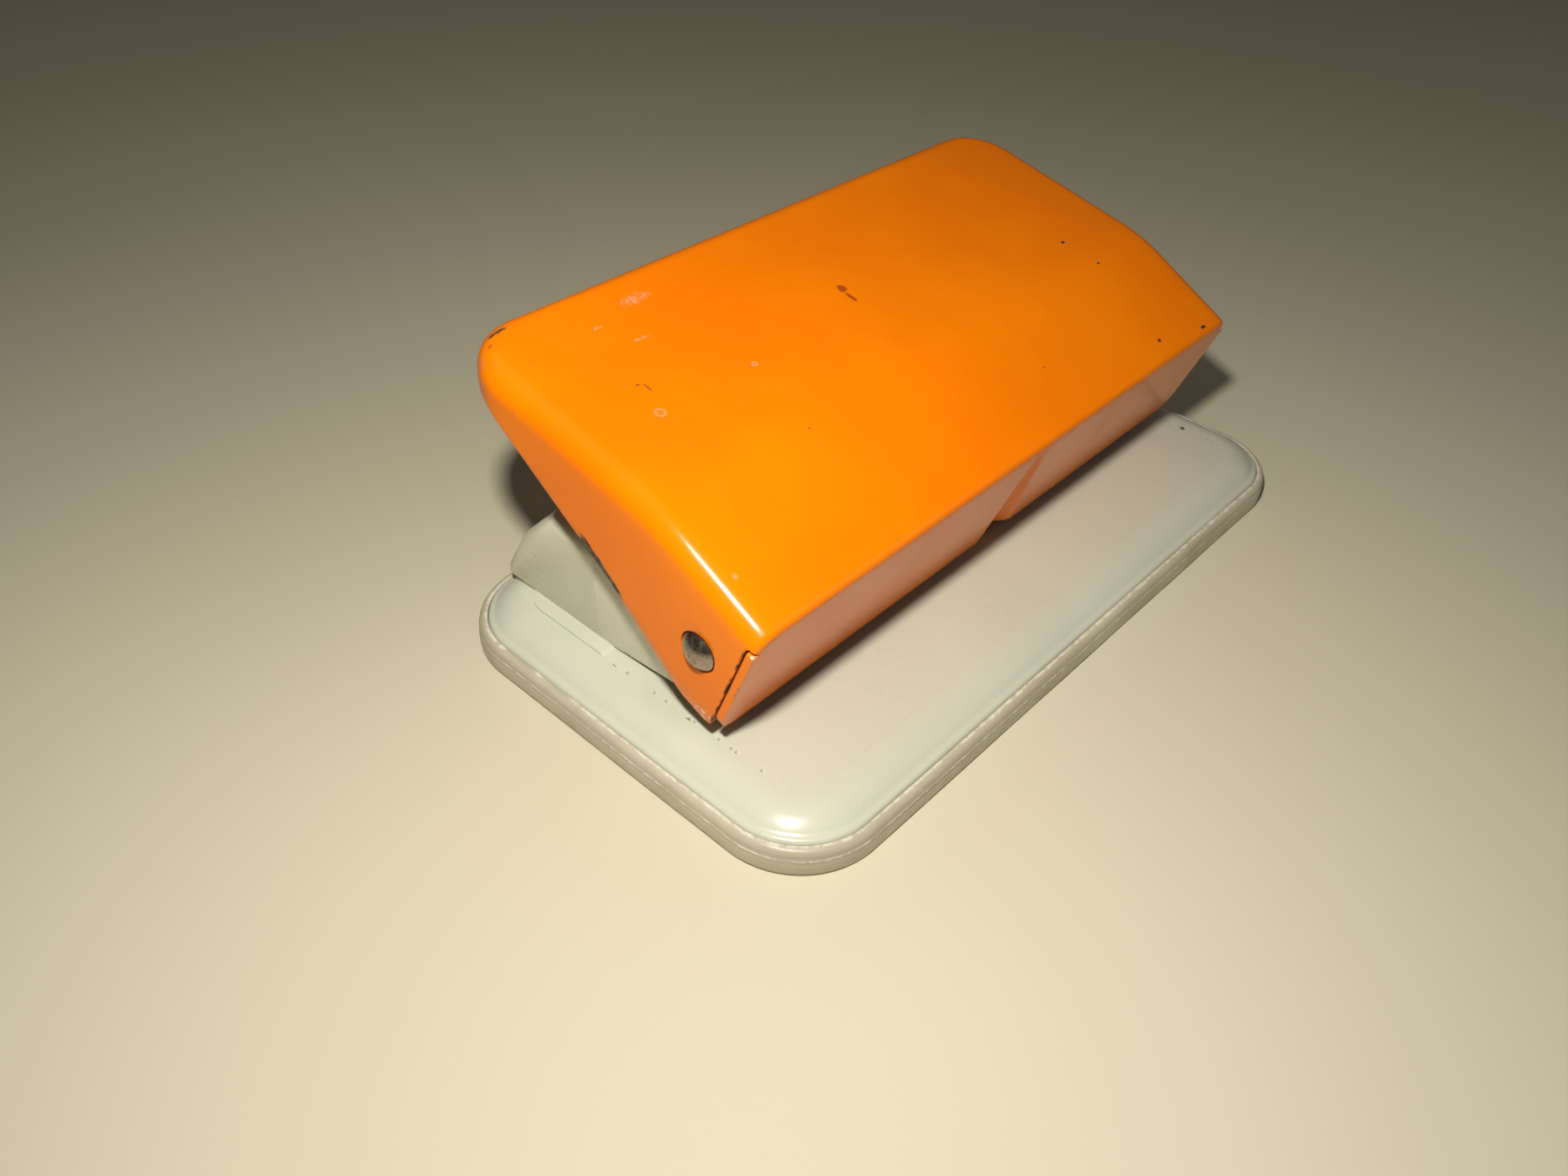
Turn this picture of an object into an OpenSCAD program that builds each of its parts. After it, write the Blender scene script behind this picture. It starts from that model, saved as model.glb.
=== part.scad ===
// Two-hole office punch: a pressed lever over a sheet-metal bracket on a
// painted base plate, with a soft plastic tray that catches the chips.
// X runs along the hinge rod, paper enters from -Y, +Z is up.
// The origin is the middle of the tray's underside.

/* [Tray] */
// Width of the tray along the hinge
tray_w = 118; // [112:0.5:126]
// Depth of the tray
tray_d = 66; // [62:0.5:76]
// Height of the tray's rim
tray_h = 4.1; // [3.8:0.1:5]
// Corner radius of the tray, seen from above
tray_corner = 12; // [10:0.5:14]
// Wall thickness of the tray
tray_wall = 1.2; // [1.2:0.1:1.6]
// Floor thickness of the tray
tray_floor = 1; // [0.8:0.1:1.2]
// Rounding of the tray's outer rim
tray_edge = 1.1; // [0.6:0.1:1.1]

/* [Base plate] */
// Height of the paper table
table_z = 6.2; // [6:0.1:7]
// Thickness of the base sheet
base_sheet = 1; // [0.8:0.1:1.2]
// Rounding between the table and its skirt
base_edge = 2.4; // [1.5:0.1:3]
// Height of the step that stops the paper
stop_step = 0.3; // [0.2:0.1:0.6]
// Where the paper stops, measured back from the middle
stop_y = 8.9; // [8:0.1:10]

/* [Punching] */
// Spacing of the two holes
hole_spacing = 80; // [76:1:84]
// Diameter of the holes in the paper
hole_d = 6; // [5:0.1:6]
// Distance from the paper's edge to the hole's middle
hole_reach = 12; // [11:0.5:12.5]
// Height of the paper slot
slot_h = 1.5; // [1:0.1:2]

/* [Lever] */
// Width of the lever
lever_w = 104.8; // [102:0.2:106]
// Thickness of the lever's sheet
lever_sheet = 1; // [0.8:0.1:1.2]
// Radius of the lever's long shoulders
lever_shoulder = 3.2; // [2:0.1:5]
// Radius of the lever's back corners, seen from above
lever_corner = 8.5; // [6:0.5:12]
// Back edge of the lever
lever_back = 32.6; // [31:0.1:35]
// Height of the front wall's lower edge
front_z = 8.5; // [8:0.1:9]
// Lean of the front wall
front_lean = 19.5; // [15:0.5:20]
// Slope of the lever's top in front of the bend
front_slope = 27.6; // [25:0.1:31]
// Slope of the lever's top behind the bend
rear_slope = 12.2; // [9:0.1:14]
// Depth of the front wall's groove at its lower end
groove_depth = 1.6; // [1:0.1:2.2]
// Sideways place of the groove
groove_x = 2.8; // [0:0.1:4]

/* [Hinge] */
// Diameter of the hinge rod
rod_d = 5; // [4:0.1:5]
// How far the rod stands out of the lever on each side
rod_proud = 1.2; // [1:0.1:2.5]
// Running clearance of the lever on the rod, on the radius
rod_clearance = 0.05; // [0.02:0.01:0.1]

/* [Bracket] */
// Width of the bracket
bracket_w = 98.6; // [97:0.2:99]
// Thickness of the bracket's sheet
bracket_sheet = 1.2; // [1:0.1:1.4]
// Back face of the bracket
bracket_back = 31; // [29:0.1:31]
// Height of the rolled top edge of the bracket's sides
side_top = 20.9; // [19:0.1:21]
// Radius of the bracket's rolled edges and back corners
bracket_shoulder = 1.8; // [1.5:0.1:3]

/* [Hidden] */

$fn = 48;
eps = 0.01;
far = 80;
shoulder_step = 0.3;

// tray and base
tray_gap = 0.25;
base_w = tray_w - 2 * (tray_wall + tray_gap);
base_d = tray_d - 2 * (tray_wall + tray_gap);
base_corner = tray_corner - tray_wall - tray_gap;
skirt_z = tray_floor + tray_gap;
sheet_under = table_z - base_sheet;
pad_z = table_z + stop_step;
pad_half = 53.6;
pad_back = 31.1;
pad_corner = 5;

// punching line
punch_y = stop_y - hole_reach;
punch_r = hole_d / 2;
slot_top = table_z + slot_h;
guide_clearance = 0.05;

// lever, seen from the side: points are [y, z]
front_y = -12.6;
front_top_z = 26.6;
front_top_y = front_y - (front_top_z - front_z) * tan(front_lean);
bend_y = -2.5;
bend_z = front_top_z + (bend_y - front_top_y) * tan(front_slope);
roll_y = 30.2;
roll_z = bend_z + (roll_y - bend_y) * tan(rear_slope);
roll_slope = -40;
cheek_edge = [[-10.6, 9.6], [-6.6, 11.3], [5.3, 21.7], [26.4, 36.4], [29, 37.6]];
seam = 0.3;
seam_top_z = 23.3;
groove_flank = 62;
groove_lean = 5;
groove_back = 8;

// hinge
pivot_y = -9.64;
pivot_z = 19.71;
rod_r = rod_d / 2;
rod_half = lever_w / 2 + rod_proud;
rod_dome = 3.2;
rod_dome_h = rod_dome - sqrt(rod_dome * rod_dome - rod_r * rod_r);
clip_groove = 0.5;
clip_t = 0.8;
clip_r = 3.4;
bracket_in = bracket_w / 2 - bracket_sheet;
clip_x = bracket_in - 0.15 - clip_t;
spacer_t = 1.3;
spacer_r = 4.3;

// bracket, seen from the side
nose_r = 5;
roof_front_y = 19.5;
roof_y = 24;
roof_z = 17.7;
roof_slope = -46;
wall_top_y = 27.6;
wall_top_z = 13.97;
wall_slope = -60;
lip_x = 46;
hood_front_y = 4;
foot_in_x = 41;
foot_in_y = 22.5;
foot_front_y = 17;
foot_top = pad_z + bracket_sheet;

// guide channel
guide_sheet = 1.2;
guide_half = bracket_in - 0.1;
guide_front = -7.6;
web_y = 9;
guide_top = 16.7;
leg_in = 30;
foot_x = [8, 26];
foot_back = 17;
rail_front = 4;

// punches
neck_r = 2.2;
punch_tip = slot_top + 0.2;
shoulder_z = guide_top - guide_sheet - 0.1;
cap_r = 3.6;
cap_z = 28.8;
cap_top = 32.8;
cap_dome = 5;
spring_wire = 0.8;
spring_turns = 5;
spring_steps = 20;
spring_r = neck_r + 0.35 + spring_wire / 2;

// dies and rivets
die_size = [20, 12, 1.2];
die_rivet_x = 7;
rivet_r = 1.5;
rivet_head = 2.6;
rivet_head_h = 1;
rivet_tail = 2.3;
rivet_tail_h = 0.8;
bracket_rivet_at = [[-44.6, 21], [44.6, 21], [-30, 26.2], [30, 26.2]];
guide_rivet_at = [[-22, 13.6], [-12, 13.6], [12, 13.6], [22, 13.6]];

// ---------- shared shapes ----------

// rectangle with four round corners, centred
module round_rect(w, d, r) {
    square([w - 2 * r, d], center = true);
    square([w, d - 2 * r], center = true);
    for (x = [-1, 1], y = [-1, 1])
        translate([x * (w / 2 - r), y * (d / 2 - r)]) circle(r);
}

// upright section from x0 to x1 whose upper right corner is rounded to radius e
module soft_section(x0, x1, h, e) {
    translate([x0, 0]) square([x1 - x0, h - e]);
    translate([x0, 0]) square([x1 - x0 - e, h]);
    translate([x1 - e, h - e]) circle(e);
}

// plate with round corners whose upper edge is rounded to radius e
module soft_plate(w, d, h, r, e) {
    x = w / 2 - r;
    y = d / 2 - r;
    translate([-x, -y, 0]) cube([2 * x, 2 * y, h]);
    for (turn = [0, 180]) rotate(turn) {
        translate([0, y, 0]) rotate([90, 0, 90]) linear_extrude(2 * x, center = true)
            soft_section(0, r, h, e);
        translate([x, 0, 0]) rotate([90, 0, 0]) linear_extrude(2 * y, center = true)
            soft_section(0, r, h, e);
        translate([x, y, 0]) rotate_extrude(angle = 90) soft_section(0, r, h, e);
        translate([-x, y, 0]) rotate(90) rotate_extrude(angle = 90) soft_section(0, r, h, e);
    }
}

// side outline, given as [y, z], spread along X from x0 to x1
module side_prism(x0, x1, outline) {
    translate([x0, 0, 0]) rotate([90, 0, 90]) linear_extrude(x1 - x0) polygon(outline);
}

// long bar under a sloping top: half width, shoulder radius, slope and a point of its top;
// t is how far its surface lies inside the outer one
module slope_bar(half, r, slope, y0, z0, t) {
    w = half - t;
    k = r - t;
    translate([0, y0, z0]) rotate([slope + 90, 0, 0])
        linear_extrude(4 * far, center = true) {
            translate([-w, -far]) square([2 * w, far - t - k]);
            translate([k - w, -far]) square([2 * (w - k), far - t]);
            for (side = [-1, 1]) translate([side * (w - k), -t - k]) circle(k);
        }
}

// upright block that reaches back to y1, with round corners there
module back_block(half, r, y1, t) {
    w = half - t;
    k = r - t;
    translate([0, 0, -far / 2]) linear_extrude(2 * far) {
        translate([-w, -far]) square([2 * w, far + y1 - t - k]);
        translate([k - w, -far]) square([2 * (w - k), far + y1 - t]);
        for (side = [-1, 1]) translate([side * (w - k), y1 - t - k]) circle(k);
    }
}

// solid rivet through a stack of sheets from z0 up to z1
module rivet(z0, z1) {
    cylinder(r = rivet_r, h = z1 - z0 + 2 * eps);
    translate([0, 0, -rivet_tail_h]) cylinder(r = rivet_tail, h = rivet_tail_h);
    dome = (rivet_head * rivet_head + rivet_head_h * rivet_head_h) / (2 * rivet_head_h);
    translate([0, 0, z1 - z0]) intersection() {
        cylinder(r = rivet_head, h = rivet_head_h);
        translate([0, 0, rivet_head_h - dome]) sphere(dome, $fn = 64);
    }
}

module rivets(places, z0, z1) {
    for (p = places) translate([p[0], p[1], z0]) rivet(z0, z1);
}

module rivet_holes(places) {
    for (p = places) translate([p[0], p[1], 0]) cylinder(r = rivet_r, h = 12);
}

// drill along the hinge axis
module hinge_bore(r) {
    translate([0, pivot_y, pivot_z]) rotate([0, 90, 0]) cylinder(r = r, h = 2 * far, center = true);
}

// ---------- tray and base ----------

module chip_tray() {
    inner_corner = tray_corner - tray_wall;
    color([0.72, 0.69, 0.58]) difference() {
        soft_plate(tray_w, tray_d, tray_h, tray_corner, tray_edge);
        translate([0, 0, tray_floor]) linear_extrude(tray_h)
            round_rect(tray_w - 2 * tray_wall, tray_d - 2 * tray_wall, inner_corner);
    }
}

module base_plate() {
    s = base_sheet;
    color([0.85, 0.83, 0.74]) difference() {
        union() {
            translate([0, 0, skirt_z])
                soft_plate(base_w, base_d, table_z - skirt_z, base_corner, base_edge);
            translate([0, 0, sheet_under]) linear_extrude(pad_z - sheet_under) difference() {
                translate([0, (pad_back - far) / 2])
                    round_rect(2 * pad_half, pad_back + far, pad_corner);
                translate([-far, stop_y - 2 * far]) square([2 * far, 2 * far]);
            }
        }
        translate([0, 0, skirt_z - eps])
            soft_plate(base_w - 2 * s, base_d - 2 * s, sheet_under - skirt_z + eps,
                       base_corner - s, base_edge - s);
        for (side = [-1, 1]) translate([side * hole_spacing / 2, punch_y, 0]) {
            cylinder(r = punch_r + guide_clearance, h = 12);
            for (x = [-die_rivet_x, die_rivet_x]) translate([x, 0, 0]) cylinder(r = rivet_r, h = 12);
        }
        rivet_holes(bracket_rivet_at);
        rivet_holes(guide_rivet_at);
    }
}

module die(side) {
    color("lightslategray") translate([side * hole_spacing / 2, punch_y, sheet_under - die_size[2]])
        difference() {
            translate([-die_size[0] / 2, -die_size[1] / 2, 0]) cube(die_size);
            translate([0, 0, -eps]) cylinder(r = punch_r + guide_clearance, h = 4);
            for (x = [-die_rivet_x, die_rivet_x])
                translate([x, 0, -eps]) cylinder(r = rivet_r, h = 4);
        }
}

module die_left() { die(-1); }

module die_right() { die(1); }

module die_rivets() {
    z0 = sheet_under - die_size[2];
    color("gray") for (side = [-1, 1], x = [-die_rivet_x, die_rivet_x])
        translate([side * hole_spacing / 2 + x, punch_y, z0]) {
            cylinder(r = rivet_r, h = table_z - z0);
            translate([0, 0, -rivet_tail_h / 2]) cylinder(r = rivet_tail, h = rivet_tail_h / 2);
        }
}

// ---------- bracket ----------

// the shoulder widens a little from face to face, as a pressed sheet's does
module hood_body(t) {
    half = bracket_w / 2;
    r = bracket_shoulder;
    step = shoulder_step;
    intersection() {
        back_block(half, r, bracket_back, t);
        slope_bar(half, r + 3 * step, roof_slope, roof_y, roof_z, t);
        slope_bar(half, r + 2 * step, wall_slope, wall_top_y, wall_top_z, t);
        slope_bar(half, r + step, 0, 0, side_top, t);
    }
}

// flat side of the bracket with its nose round the hinge rod
module bracket_side(x0) {
    lean_y = cos(front_lean);
    lean_z = sin(front_lean);
    nose_y = pivot_y - nose_r * lean_y;
    nose_z = pivot_z - nose_r * lean_z;
    toe_y = nose_y + (nose_z - slot_top) * tan(front_lean);
    side_prism(x0, x0 + bracket_sheet, [
        [toe_y, slot_top], [-2.4, slot_top], [stop_y, pad_z], [stop_y + 3, pad_z],
        [stop_y + 3, side_top - bracket_shoulder], [hood_front_y, side_top - bracket_shoulder],
        [hood_front_y - 1, side_top], [pivot_y + 3, pivot_z + nose_r],
        [pivot_y, pivot_z + nose_r], [pivot_y, pivot_z], [nose_y, nose_z]]);
    translate([x0, pivot_y, pivot_z]) rotate([0, 90, 0]) cylinder(r = nose_r, h = bracket_sheet);
}

module bracket() {
    half = bracket_w / 2;
    color([0.70, 0.67, 0.56]) difference() {
        union() {
            difference() {
                hood_body(0);
                hood_body(bracket_sheet);
                translate([-far, -2 * far, -far]) cube([2 * far, 2 * far + hood_front_y, 2 * far]);
                translate([-lip_x, 0, 0]) cube([2 * lip_x, roof_front_y, far]);
                translate([-far, -far, -far]) cube([2 * far, 2 * far, far + pad_z]);
                side_prism(-far, far, [[-2.4, slot_top], [-2.4, 0], [stop_y, 0], [stop_y, pad_z]]);
            }
            bracket_side(-half);
            bracket_side(half - bracket_sheet);
            // flange that is riveted to the base
            intersection() {
                hood_body(eps);
                translate([0, 0, pad_z]) linear_extrude(bracket_sheet) difference() {
                    translate([-half, foot_front_y]) square([2 * half, far]);
                    translate([-foot_in_x, 0]) square([2 * foot_in_x, foot_in_y]);
                }
            }
        }
        hinge_bore(rod_r);
        rivet_holes(bracket_rivet_at);
    }
}

module bracket_rivets() {
    color("gray") rivets(bracket_rivet_at, sheet_under, foot_top);
}

// ---------- lever ----------

// V in the front wall that fades out towards the top;
// t is how far the surface lies inside the outer one
module groove(t) {
    depth = groove_depth + t / sin(groove_flank);
    reach = depth * tan(groove_flank);
    translate([groove_x, front_y, front_z]) rotate([front_lean + groove_lean, 0, 0])
        translate([0, 0, -far / 2]) linear_extrude(far)
            polygon([[-reach, 0], [-reach, -far], [reach, -far], [reach, 0], [0, depth]]);
}

module lever_body(t, bottom) {
    half = lever_w / 2;
    r = lever_shoulder;
    // the front wall's line, moved inwards by t
    wall_y = front_y + t * cos(front_lean);
    wall_z = front_z + t * sin(front_lean);
    lean = tan(front_lean);
    // the rolled-down back edge
    edge_y = roll_y + t * sin(roll_slope);
    edge_z = roll_z - t * cos(roll_slope);
    reach = far / 2;
    difference() {
        intersection() {
            back_block(half, lever_corner, lever_back, t);
            slope_bar(half, r, front_slope, bend_y, bend_z, t);
            slope_bar(half, r, rear_slope, bend_y, bend_z, t);
            side_prism(-far, far, [
                [wall_y + (wall_z - bottom) * lean, bottom], [wall_y - (far - wall_z) * lean, far],
                [edge_y - reach * cos(roll_slope), edge_z - reach * sin(roll_slope)],
                [edge_y + reach * cos(roll_slope), edge_z + reach * sin(roll_slope)],
                [edge_y + reach * cos(roll_slope), bottom]]);
        }
        groove(t);
    }
}

module lever() {
    t = lever_sheet;
    lean = tan(front_lean);
    in_y = front_y + t / cos(front_lean);
    seam_y = in_y + seam / cos(front_lean);
    color([0.93, 0.47, 0.02]) difference() {
        lever_body(0, front_z);
        lever_body(t, -far);
        // below the side edges, behind the front wall
        difference() {
            side_prism(-far, far, concat(
                [[in_y, front_z], [in_y - (cheek_edge[0][1] - front_z) * lean, cheek_edge[0][1]]],
                cheek_edge,
                [[far, cheek_edge[4][1]], [far, -far], [in_y + (front_z + far) * lean, -far]]));
            // the back of the groove stays whole
            translate([-groove_back, -far, -far]) cube([2 * groove_back, far + cheek_edge[1][0], 2 * far]);
        }
        // open seam between the front wall and each side
        side_prism(-far, far, [
            [in_y, front_z], [in_y - (seam_top_z - front_z) * lean, seam_top_z],
            [seam_y - (seam_top_z - front_z) * lean, seam_top_z], [seam_y, front_z]]);
        hinge_bore(rod_r + rod_clearance);
    }
}

// ---------- hinge ----------

module pivot_rod() {
    color("silver") translate([0, pivot_y, pivot_z]) rotate([0, 90, 0]) difference() {
        union() {
            cylinder(r = rod_r, h = 2 * (rod_half - rod_dome_h), center = true);
            for (side = [-1, 1]) intersection() {
                translate([0, 0, side * (rod_half - rod_r)]) cylinder(r = rod_r, h = 2 * rod_r, center = true);
                translate([0, 0, side * (rod_half - rod_dome)]) sphere(rod_dome, $fn = 64);
            }
        }
        // grooves for the two clips
        for (side = [-1, 1]) translate([0, 0, side * (clip_x + clip_t / 2)]) difference() {
            cylinder(r = rod_r + 1, h = clip_t, center = true);
            cylinder(r = rod_r - clip_groove, h = 2 * clip_t, center = true);
        }
    }
}

module axle_clips() {
    color("dimgray") for (x = [-clip_x - clip_t, clip_x])
        translate([x, pivot_y, pivot_z]) rotate([0, 90, 0]) difference() {
            cylinder(r = clip_r, h = clip_t);
            translate([0, 0, -eps]) cylinder(r = rod_r - clip_groove, h = clip_t + 2 * eps);
            translate([-clip_r, -1.2, -eps]) cube([clip_r, 2.4, clip_t + 2 * eps]);
        }
}

module spacer(side) {
    gap_mid = (bracket_w / 2 + lever_w / 2 - lever_sheet) / 2;
    color("gainsboro") translate([side * gap_mid, pivot_y, pivot_z]) rotate([0, 90, 0]) difference() {
        cylinder(r = spacer_r, h = spacer_t, center = true);
        cylinder(r = rod_r, h = 2 * spacer_t, center = true);
    }
}

module spacer_left() { spacer(-1); }

module spacer_right() { spacer(1); }

// ---------- punches ----------

module guide_channel() {
    s = guide_sheet;
    color("lightsteelblue") difference() {
        union() {
            // upper guide: a rail with a wide ear over each punch
            translate([-guide_half, rail_front, guide_top - s]) cube([2 * guide_half, web_y + s - rail_front, s]);
            for (side = [0, 1]) mirror([side, 0, 0]) {
                translate([leg_in, guide_front, guide_top - s])
                    cube([guide_half - leg_in, web_y + s - guide_front, s]);
                translate([leg_in, guide_front, slot_top])
                    cube([guide_half - leg_in, web_y + s - guide_front, s]);
                // foot turned back on to the base
                translate([foot_x[0], web_y, pad_z]) cube([foot_x[1] - foot_x[0], s, slot_top + s - pad_z]);
                translate([foot_x[0], web_y, pad_z]) cube([foot_x[1] - foot_x[0], foot_back - web_y, s]);
            }
            translate([-guide_half, web_y, slot_top]) cube([2 * guide_half, s, guide_top - slot_top]);
        }
        for (side = [-1, 1]) translate([side * hole_spacing / 2, punch_y, 0]) {
            cylinder(r = punch_r + guide_clearance, h = (slot_top + guide_top) / 2);
            cylinder(r = neck_r + guide_clearance, h = guide_top + 1);
        }
        rivet_holes(guide_rivet_at);
    }
}

module guide_rivets() {
    color("gray") rivets(guide_rivet_at, sheet_under, foot_top);
}

// stepped pin: the cutting shank stops under the upper guide, the neck carries the spring
module punch(side) {
    color("lightgray") translate([side * hole_spacing / 2, punch_y, 0]) difference() {
        union() {
            translate([0, 0, punch_tip]) cylinder(r = punch_r, h = shoulder_z - punch_tip);
            translate([0, 0, shoulder_z]) cylinder(r = neck_r, h = cap_z + 2 - shoulder_z);
        }
        // hollow-ground cutting face
        translate([0, 0, punch_tip - 8.6]) sphere(9.1, $fn = 64);
    }
}

module punch_left() { punch(-1); }

module punch_right() { punch(1); }

module punch_cap(side) {
    color("darkgray") translate([side * hole_spacing / 2, punch_y, 0]) difference() {
        intersection() {
            translate([0, 0, cap_z]) cylinder(r = cap_r, h = cap_top - cap_z);
            translate([0, 0, cap_top - cap_dome]) sphere(cap_dome, $fn = 64);
        }
        translate([0, 0, cap_z - 1]) cylinder(r = neck_r, h = 3);
    }
}

module punch_cap_left() { punch_cap(-1); }

module punch_cap_right() { punch_cap(1); }

// height of a helix whose first and last half turn lie flat
function coil_height(u, low, high) =
    let (rise = max(0, min(1, (u * spring_turns - 0.5) / (spring_turns - 1))))
    low + (high - low) * rise;

module coil(side) {
    low = guide_top + spring_wire / 2 + 0.02;
    high = cap_z - spring_wire / 2 - 0.02;
    rings = spring_turns * spring_steps;
    sides = 8;
    points = [for (i = [0 : rings], j = [0 : sides - 1])
        let (u = i / rings, a = 360 * spring_turns * u, b = 360 * j / sides,
             r = spring_r + spring_wire / 2 * cos(b))
        [r * cos(a), r * sin(a), coil_height(u, low, high) + spring_wire / 2 * sin(b)]];
    sides_faces = [for (i = [0 : rings - 1], j = [0 : sides - 1])
        let (k = (j + 1) % sides)
        [i * sides + j, (i + 1) * sides + j, (i + 1) * sides + k, i * sides + k]];
    ends = [[for (j = [0 : sides - 1]) j], [for (j = [sides - 1 : -1 : 0]) rings * sides + j]];
    color("silver") translate([side * hole_spacing / 2, punch_y, 0])
        polyhedron(points, concat(sides_faces, ends));
}

module spring_left() { coil(-1); }

module spring_right() { coil(1); }

chip_tray();
base_plate();
bracket();
lever();
pivot_rod();
axle_clips();
spacer_left();
spacer_right();
guide_channel();
punch_left();
punch_right();
punch_cap_left();
punch_cap_right();
spring_left();
spring_right();
die_left();
die_right();
bracket_rivets();
guide_rivets();
die_rivets();
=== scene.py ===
import math

import bmesh
import bpy
import numpy as np
from mathutils import Matrix, Vector


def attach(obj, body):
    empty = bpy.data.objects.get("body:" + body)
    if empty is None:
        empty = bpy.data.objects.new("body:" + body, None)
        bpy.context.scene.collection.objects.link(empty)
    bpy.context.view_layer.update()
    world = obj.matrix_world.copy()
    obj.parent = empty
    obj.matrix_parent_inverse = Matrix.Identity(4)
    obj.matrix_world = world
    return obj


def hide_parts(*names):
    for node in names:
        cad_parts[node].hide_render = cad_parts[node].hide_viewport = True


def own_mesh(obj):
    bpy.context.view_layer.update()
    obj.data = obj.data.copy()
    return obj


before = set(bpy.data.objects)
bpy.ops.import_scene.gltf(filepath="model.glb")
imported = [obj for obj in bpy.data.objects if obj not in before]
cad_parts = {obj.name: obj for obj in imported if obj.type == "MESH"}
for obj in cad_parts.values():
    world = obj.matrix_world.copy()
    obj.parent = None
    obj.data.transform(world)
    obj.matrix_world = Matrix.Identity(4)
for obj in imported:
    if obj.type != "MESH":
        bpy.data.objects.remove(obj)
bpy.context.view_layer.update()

MM = 0.001

# ---------------------------------------------------------------- dimensions, mm
LEVER_HALF = 52.4
LEVER_R = 3.2
LEVER_CORNER = 8.5
LEVER_BACK = 32.6
LEVER_SHEET = 1.0
FRONT_Y, FRONT_Z = -12.6, 8.5
LEAN = math.tan(math.radians(19.5))
FRONT_TOP_Y, FRONT_TOP_Z = -19.01, 26.6
BEND_Y = -2.5
FRONT_SLOPE = math.tan(math.radians(27.6))
REAR_SLOPE = math.tan(math.radians(12.2))
SEAM_TOP = 23.9
WALL_FILLET = 0.95  # between the top and the front wall
SEAM_SETBACK = 1.38  # the side's front edge lies this far behind the wall's face
BEND_HALF = 4.5  # half of the length over which the top bends
ROD_HOLE_R = 2.72
PIVOT = (-9.64, 19.71)
CHEEK = [(-14.0, 9.6), (-10.6, 9.6), (-6.6, 11.3), (5.3, 21.7), (26.4, 36.4), (29.0, 37.5), (60.0, 38.2)]

TRAY_W, TRAY_D, TRAY_R = 118.0, 66.0, 12.0
BASE_W, BASE_D, BASE_R = 115.1, 63.1, 10.55
BASE_SHEET = 0.95
TABLE_Z, PAD_Z = 6.2, 6.5
STOP_Y, PAD_HALF, PAD_BACK = 8.9, 53.6, 31.1
PUNCH_X, PUNCH_Y = 40.0, -3.1
PUNCH_HOLE_R = 3.06
DIE_RIVET_OFFSET, DIE_RIVET_HOLE_R = 7, 1.52

# ---------------------------------------------------------------- colours, linear
ORANGE_DEEP, ORANGE_BRIGHT = (0.90, 0.200, 0.0005), (0.97, 0.235, 0.0005)
GREY_SHADE, GREY_LIGHT = (0.575, 0.585, 0.485), (0.605, 0.615, 0.51)
BRACKET_SHADE, BRACKET_LIGHT = (0.66, 0.64, 0.505), (0.71, 0.69, 0.55)
TRAY_SHADE, TRAY_LIGHT, TRAY_MILKY = (0.46, 0.42, 0.315), (0.54, 0.50, 0.385), (0.82, 0.79, 0.68)
FLOOR_SHADE, FLOOR_LIGHT = (0.63, 0.59, 0.44), (0.67, 0.63, 0.48)
PRIMER_DARK, PRIMER_LIGHT = (0.045, 0.028, 0.016), (0.16, 0.10, 0.06)
BARE_METAL = (0.72, 0.66, 0.58)

# ---------------------------------------------------------------- camera and lights, m
CAMERA_AT = (-0.12463, -0.08450, 0.11660)
CAMERA_RIGHT = (0.67693, -0.73513, 0.03681)
CAMERA_UP = (0.45401, 0.45638, 0.76524)
CAMERA_BACK = (-0.57935, -0.50131, 0.64269)
LENS, SENSOR = 29.0, 36.0
AIM = (0, 0, 0.02)
FLOOR_SIZE = 3.0


# ---------------------------------------------------------------- mesh helpers
def smooth01(t):
    t = min(1.0, max(0.0, t))
    return t * t * (3 - 2 * t)


def lerp(a, b, t):
    return a + (b - a) * t


def make(name, verts, faces, mat=None, merge=0.004):
    """Mesh object from points in mm."""
    me = bpy.data.meshes.new(name)
    me.from_pydata([tuple(c * MM for c in v) for v in verts], [], faces)
    bm = bmesh.new()
    bm.from_mesh(me)
    bmesh.ops.remove_doubles(bm, verts=bm.verts, dist=merge * MM)
    bmesh.ops.dissolve_degenerate(bm, edges=bm.edges, dist=1e-7)
    bmesh.ops.recalc_face_normals(bm, faces=bm.faces)
    bm.to_mesh(me)
    bm.free()
    me.update()
    ob = bpy.data.objects.new(name, me)
    bpy.context.scene.collection.objects.link(ob)
    if mat:
        me.materials.append(mat)
    return ob


def grid_faces(rows, cols, base=0):
    """Faces of a rows x cols grid of points whose first index is base."""
    out = []
    for i in range(rows - 1):
        for j in range(cols - 1):
            a = base + i * cols + j
            out.append((a, a + 1, a + cols + 1, a + cols))
    return out


def modifier(ob, kind, **values):
    m = ob.modifiers.new(kind.lower(), kind)
    for k, v in values.items():
        setattr(m, k, v)
    return m


def shade(ob, angle=40):
    """Smooth shading with edges sharper than angle kept."""
    me = ob.data
    for p in me.polygons:
        p.use_smooth = True
    bm = bmesh.new()
    bm.from_mesh(me)
    for e in bm.edges:
        if len(e.link_faces) == 2:
            e.smooth = e.calc_face_angle(0) < math.radians(angle)
    bm.to_mesh(me)
    bm.free()


def apply_modifiers(ob):
    """Bakes the modifiers into the mesh."""
    deps = bpy.context.evaluated_depsgraph_get()
    deps.update()
    me = bpy.data.meshes.new_from_object(ob.evaluated_get(deps))
    ob.modifiers.clear()
    old = ob.data
    ob.data = me
    bpy.data.meshes.remove(old)


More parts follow.
